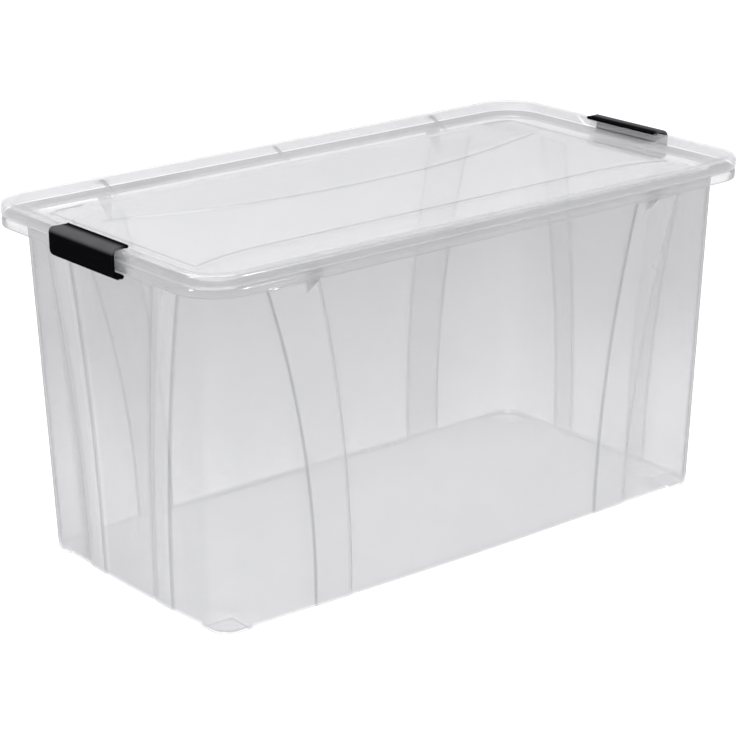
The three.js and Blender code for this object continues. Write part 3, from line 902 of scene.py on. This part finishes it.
# ---- Clip handle ----


def clip_line(s):
    """The middle line of a clip's section and its half thickness, from the bead to the lip's tip.

    The line leaves the bead, curves out below the rim, runs up the plate, bends over the roll and
    ends in the tip bead. Near both ends the half thickness is a circle's, √(r² - distance²)."""
    half = s.thickness / 2
    out = s.plate_outer - half
    t = np.linspace(0, 1, 14)[:, None]
    # A curve from the bead to the foot of the plate, drawn to the corner between them.
    low, plate_foot = -0.6 * MM, 8.5 * MM
    foot = (1 - t) ** 2 * [0, low] + 2 * t * (1 - t) * [out, low] + t**2 * [out, plate_foot]
    bend = s.bend - half
    crest = s.lip_top - half
    plate = np.stack([np.full(9, out), np.linspace(plate_foot, crest - bend, 10)[1:]], axis=1)
    swing = np.radians(np.linspace(0, 90, 9)[1:])[:, None]
    turned = np.concatenate([np.cos(swing), np.sin(swing)], axis=1)
    over = [out - bend, crest - bend] + bend * turned
    lip = np.stack([np.linspace(out - bend, -s.tip_reach, 12)[1:], np.full(11, crest)], axis=1)
    line = np.concatenate([foot, plate, over, lip])
    lead_in = np.array([[-0.985, -0.94, -0.8, -0.55, -0.28]]).T * s.bead * [1, 0] + line[0]
    lead_out = line[-1] - np.array([[0.28, 0.55, 0.8, 0.94, 0.985]]).T * s.tip * [1, 0]
    line = np.concatenate([lead_in, line, lead_out])
    walked = np.concatenate([[0], np.cumsum(np.linalg.norm(np.diff(line, axis=0), axis=1))])
    to_bead = walked - walked[5]
    to_tip = walked - walked[-6]
    thick = np.full(len(line), half * 0.88)
    thick[to_bead > 9 * MM] = half
    bead = np.sqrt(np.clip(s.bead**2 - to_bead**2, 0, None))
    tip = np.sqrt(np.clip(s.tip**2 - to_tip**2, 0, None))
    at_ends = (to_bead < 0) | (to_tip > 0)
    thick = np.where(at_ends, np.maximum(bead, tip), np.maximum.reduce([thick, bead, tip]))
    return line, thick, walked


def clip_shell(s, pivot, side):
    """A clip: its section is a ribbon, line ± normal × half thickness, carried along Y.

    Each part of the section has its own half length. The corners of the plate are rounded by
    √(r² - (r - distance)²), and the edges by drawing in the thickness near the ends."""
    line, thick, walked = clip_line(s)
    way = np.gradient(line, axis=0)
    way /= np.linalg.norm(way, axis=1, keepdims=True)
    normal = np.stack([way[:, 1], -way[:, 0]], axis=1)
    height = line[:, 1]
    from_bead = ease((walked - 4 * MM) / (7 * MM))
    length = s.bead_length / 2 + (s.plate_length - s.bead_length) / 2 * from_bead
    out = line[:, 0]
    lip_share = ease((s.plate_outer - s.thickness - out) / (5 * MM)) * (height > s.lip_top / 2)
    length = length + (s.lip_length - s.plate_length) / 2 * lip_share
    near = np.clip(1 - (s.lip_top - height) / s.plate_corner, 0, 1) * (out > s.plate_outer / 2)
    length -= 0.55 * s.plate_corner * (1 - np.sqrt(1 - np.clip(near, 0, 1) ** 2)) * (1 - lip_share)
    swing = np.radians([90, 66, 44, 22, 0])
    edge = np.minimum(s.edge, thick * 0.6)
    ends = length - edge + edge * np.sin(swing)[:, None]
    drawn = edge * (1 - np.cos(swing))[:, None]
    middle = np.linspace(-1, 1, 13)[1:-1, None] * (length - edge)
    across = np.concatenate([-ends, middle, ends[::-1]])
    depth = thick - np.concatenate([drawn, np.zeros_like(middle), drawn[::-1]])
    push = normal * depth[..., None]
    section = np.concatenate([line + push, (line - push)[:, ::-1]], axis=1)
    across = np.concatenate([across, across[:, ::-1]], axis=1)
    out, up = section[..., 0], section[..., 1]
    turned = np.stack([side * out + pivot.x, side * across, up + pivot.z], axis=-1)
    rows, columns = turned.shape[:2]
    points = turned.reshape(-1, 3)
    half = columns // 2
    k = np.arange(half - 1)
    cap = np.stack([k, k + 1, columns - 2 - k, columns - 1 - k], axis=1)
    last = (rows - 1) * columns
    return points, [grid_faces(rows, columns, True)[:, ::-1], cap, cap[:, ::-1] + last]


# ---- Operators ----


class STORAGE_OT_tub(bpy.types.Operator):
    """Build the open tub with its rim, bands, feet, webs and rails"""

    bl_idname = "storage_box.tub"
    bl_label = "Build tub"

    def execute(self, context):
        s, finish = context.scene.storage_tub, context.scene.storage_finish
        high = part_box("tub")[1]
        shells = [thickened(*tub_sheet(s, high), s.wall), *tub_webs(s, high)]
        # Painted light: lighter low on the walls, a painted highlight along the rim from 9 mm below
        # its top, and the floor's lighter tint below 6 mm.
        looks = (finish.clear_tint, finish.foot_and_rim_painted_light_tint, TUB_PAINTED_LIGHT, high.z - 9 * MM, TUB_SLANTS)
        material = kept_material("clear_tub", clear_plastic, finish, *looks, TUB_WAVES, 6 * MM)
        mark_bands(place_piece("tub", "_moulding", shells, material), s, high)
        return {"FINISHED"}


class STORAGE_OT_lid(bpy.types.Operator):
    """Build the lid with its tray, panel, ribs and clip seats"""

    bl_idname = "storage_box.lid"
    bl_label = "Build lid"

    def execute(self, context):
        s, finish = context.scene.storage_lid, context.scene.storage_finish
        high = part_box("lid")[1]
        shells = [thickened(*lid_sheet(s, high), s.sheet), *lid_ribs(s, high)]
        tray = high.z - s.tray_depth
        # Painted light: a lighter tint from 5 mm below the tray floor to 7 mm above it, and a
        # painted highlight along the roll's top.
        painted_light_heights = (tray - 5 * MM, tray - 4 * MM, tray + 1.5 * MM, tray + 7 * MM)
        looks = (finish.lid_tint, finish.tray_and_roll_painted_light_tint, painted_light_heights, high.z - 0.6 * MM, LID_SLANTS)
        material = kept_material("clear_lid", clear_plastic, finish, *looks, LID_WAVES)
        mark_lid(place_piece("lid", "_moulding", shells, material), s, high)
        return {"FINISHED"}


class STORAGE_OT_clips(bpy.types.Operator):
    """Build the two black clip handles"""

    bl_idname = "storage_box.clips"
    bl_label = "Build clip handles"

    def execute(self, context):
        s, finish = context.scene.storage_clip, context.scene.storage_finish
        material = kept_material("clip_black", black_plastic, finish, PIVOTS["clip_right"])
        for node, side in (("clip_left", -1), ("clip_right", 1)):
            shells = [clip_shell(s, PIVOTS[node], side)]
            place_piece(node, "_handle", shells, material, sharp=50.0)
        return {"FINISHED"}


CAMERA_PLACE = (-1.63285, -2.00498, 1.04926)
CAMERA_FORWARD = (0.593943, 0.737306, -0.321889)
CAMERA_UP = (0.208686, 0.245215, 0.946742)
CAMERA_LENS = 122.19
FLOOR_HALF = 9.0
WORLD_LIGHT = 1.02

LIGHTS_AIM = (0.0, 0.0, 0.2)
SOFT_LIGHTS = (
    # name, place, width, height, watts
    ("overhead_soft", (-0.3, 0.2, 2.6), 2.2, 2.2, 46.0),
    ("left_soft", (-3.2, 0.2, 1.7), 0.6, 0.9, 24.0),
    ("right_soft", (1.6, -3.2, 1.9), 0.6, 0.8, 34.0),
)


class STORAGE_OT_stage(bpy.types.Operator):
    """Build the pale floor, the soft lights and the camera"""

    bl_idname = "storage_box.stage"
    bl_label = "Build stage"

    def execute(self, context):
        scene, finish = context.scene, context.scene.storage_finish
        span = np.linspace(-FLOOR_HALF, FLOOR_HALF, 5)
        x, y = np.meshgrid(span, span)
        points = np.stack([x, y, np.zeros_like(x)], axis=-1).reshape(-1, 3)
        mesh = make_mesh("floor", points, [grid_faces(5, 5, False)])
        mesh.materials.append(kept_material("pale_floor", floor_paint, finish))
        shown("floor", mesh)

        world = bpy.data.worlds.new("soft_room")
        world.use_nodes = True
        sky = world.node_tree.nodes["Background"].inputs
        sky["Color"].default_value = (1.0, 1.0, 1.0, 1.0)
        sky["Strength"].default_value = WORLD_LIGHT
        scene.world = world
        for name, place, width, height, watts in SOFT_LIGHTS:
            lamp = bpy.data.lights.new(name, "AREA")
            lamp.shape, lamp.size, lamp.size_y, lamp.energy = "RECTANGLE", width, height, watts
            turn = (Vector(LIGHTS_AIM) - Vector(place)).to_track_quat("-Z", "Y").to_matrix()
            shown(name, lamp).matrix_world = Matrix.Translation(place) @ turn.to_4x4()

        forward, up = Vector(CAMERA_FORWARD).normalized(), Vector(CAMERA_UP).normalized()
        right = forward.cross(up).normalized()
        turn = Matrix((right, right.cross(forward), -forward)).transposed()
        camera = shown("camera", bpy.data.cameras.new("camera"))
        camera.data.lens, camera.data.sensor_width = CAMERA_LENS, 36.0
        camera.data.clip_start, camera.data.clip_end = 0.05, 60.0
        camera.matrix_world = Matrix.Translation(CAMERA_PLACE) @ turn.to_4x4()
        scene.camera = camera
        scene.view_settings.view_transform = "Standard"
        scene.cycles.transparent_max_bounces = 32
        return {"FINISHED"}


OPERATORS = (STORAGE_OT_tub, STORAGE_OT_lid, STORAGE_OT_clips, STORAGE_OT_stage)
GROUPS = {
    "storage_tub": TubSizes,
    "storage_lid": LidSizes,
    "storage_clip": ClipSizes,
    "storage_finish": Finishes,
}


class STORAGE_PT_panel(bpy.types.Panel):
    """Lists the pieces of the storage box and their sizes"""

    bl_label = "Storage box"
    bl_idname = "STORAGE_PT_panel"
    bl_space_type = "VIEW_3D"
    bl_region_type = "UI"
    bl_category = "Storage box"

    def draw(self, context):
        for operator in OPERATORS:
            self.layout.operator(operator.bl_idname)
        for name, group in GROUPS.items():
            box = self.layout.box()
            for field in group.__annotations__:
                box.prop(getattr(context.scene, name), field)


def register():
    for kind in (*GROUPS.values(), *OPERATORS, STORAGE_PT_panel):
        bpy.utils.register_class(kind)
    for name, group in GROUPS.items():
        setattr(bpy.types.Scene, name, PointerProperty(type=group))


def unregister():
    for name in GROUPS:
        delattr(bpy.types.Scene, name)
    for kind in (STORAGE_PT_panel, *reversed(OPERATORS), *reversed(GROUPS.values())):
        bpy.utils.unregister_class(kind)


def main():
    register()
    bpy.ops.storage_box.tub()
    bpy.ops.storage_box.lid()
    bpy.ops.storage_box.clips()
    bpy.ops.storage_box.stage()


if __name__ == "__main__":
    main()
